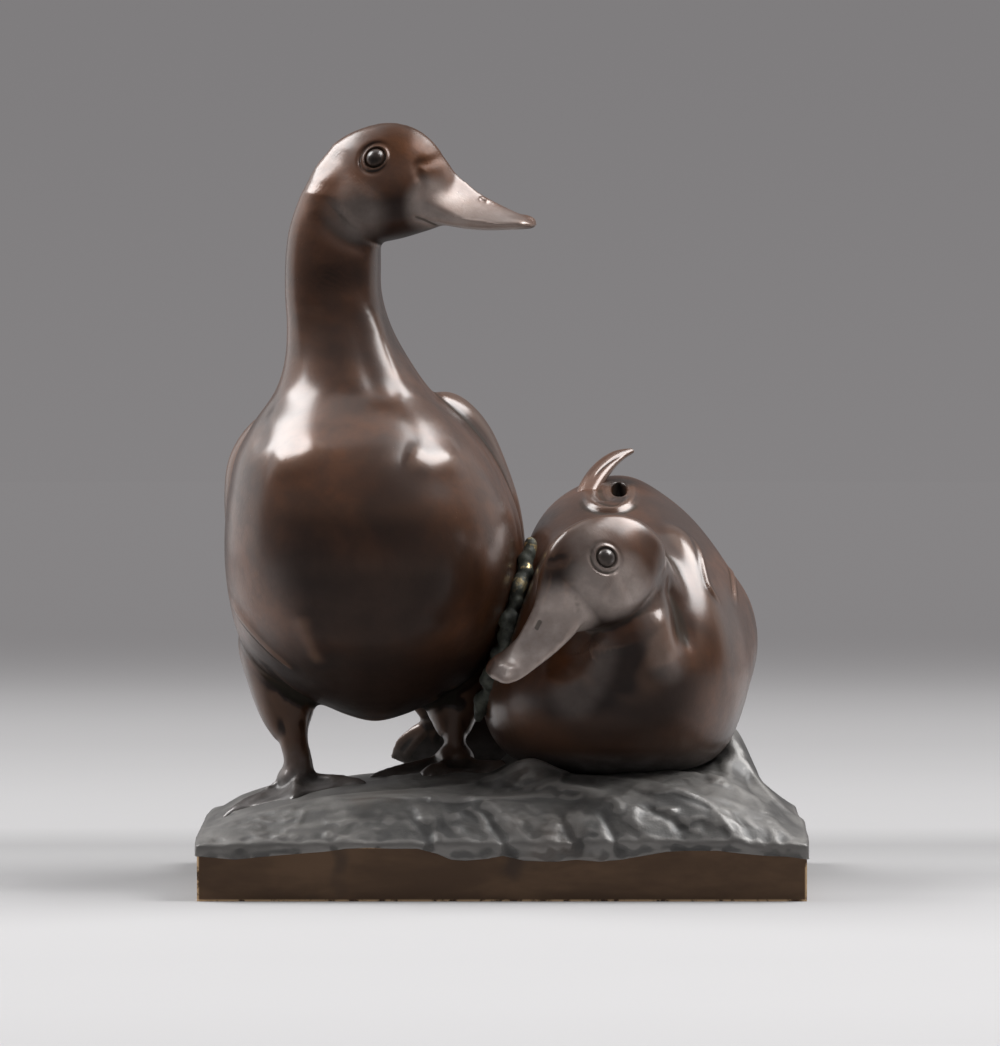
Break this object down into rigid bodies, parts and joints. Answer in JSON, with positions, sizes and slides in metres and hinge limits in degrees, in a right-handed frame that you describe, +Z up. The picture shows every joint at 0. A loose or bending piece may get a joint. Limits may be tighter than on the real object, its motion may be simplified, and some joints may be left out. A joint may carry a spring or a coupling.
{
  "type": "bronze duck pair sculpture",
  "caption": "Bronze ornament of a standing duck and a crouching duck side by side on modelled ground over a low rectangular plinth.",
  "frame": {"origin": "middle of the plinth's underside, on the surface that it stands on", "axes": "+Z up, -Y towards the viewer of the picture, +X to that viewer's right, along the plinth's long side"},
  "size_m": [0.1592, 0.1142, 0.2012],
  "materials": {
    "brown_bronze": "warm brown patina over bronze, waxed, satin to glossy on the high spots",
    "grey_bronze": "dull grey-black patina over rough modelled bronze, rubbed paler on the ridges",
    "plinth_bronze": "smooth filed bronze with a thin brown patina, worn bright on the corners",
    "fixing_brass": "plain turned brass, dull",
    "solder": "crusty greenish-gold brazing"
  },
  "bodies": {
    "root": {"plinth": "plinth_bronze", "ground": "grey_bronze", "standing_body": "brown_bronze", "standing_head": "brown_bronze", "standing_left_leg": "brown_bronze", "standing_right_leg": "brown_bronze", "standing_tail": "brown_bronze", "crouching_body": "brown_bronze", "crouching_head": "brown_bronze", "crouching_tail": "brown_bronze", "curl_feather": "brown_bronze", "solder_seam": "solder", "neck_pin_left": "fixing_brass", "neck_pin_right": "fixing_brass", "foot_stud_left": "fixing_brass", "foot_washer_left": "fixing_brass", "foot_nut_left": "fixing_brass", "foot_stud_right": "fixing_brass", "foot_washer_right": "fixing_brass", "foot_nut_right": "fixing_brass", "body_bolt_front": "fixing_brass", "body_bolt_rear": "fixing_brass", "plinth_screw_1": "fixing_brass", "plinth_screw_2": "fixing_brass", "plinth_screw_3": "fixing_brass", "plinth_screw_4": "fixing_brass"}
  },
  "joints": []
}
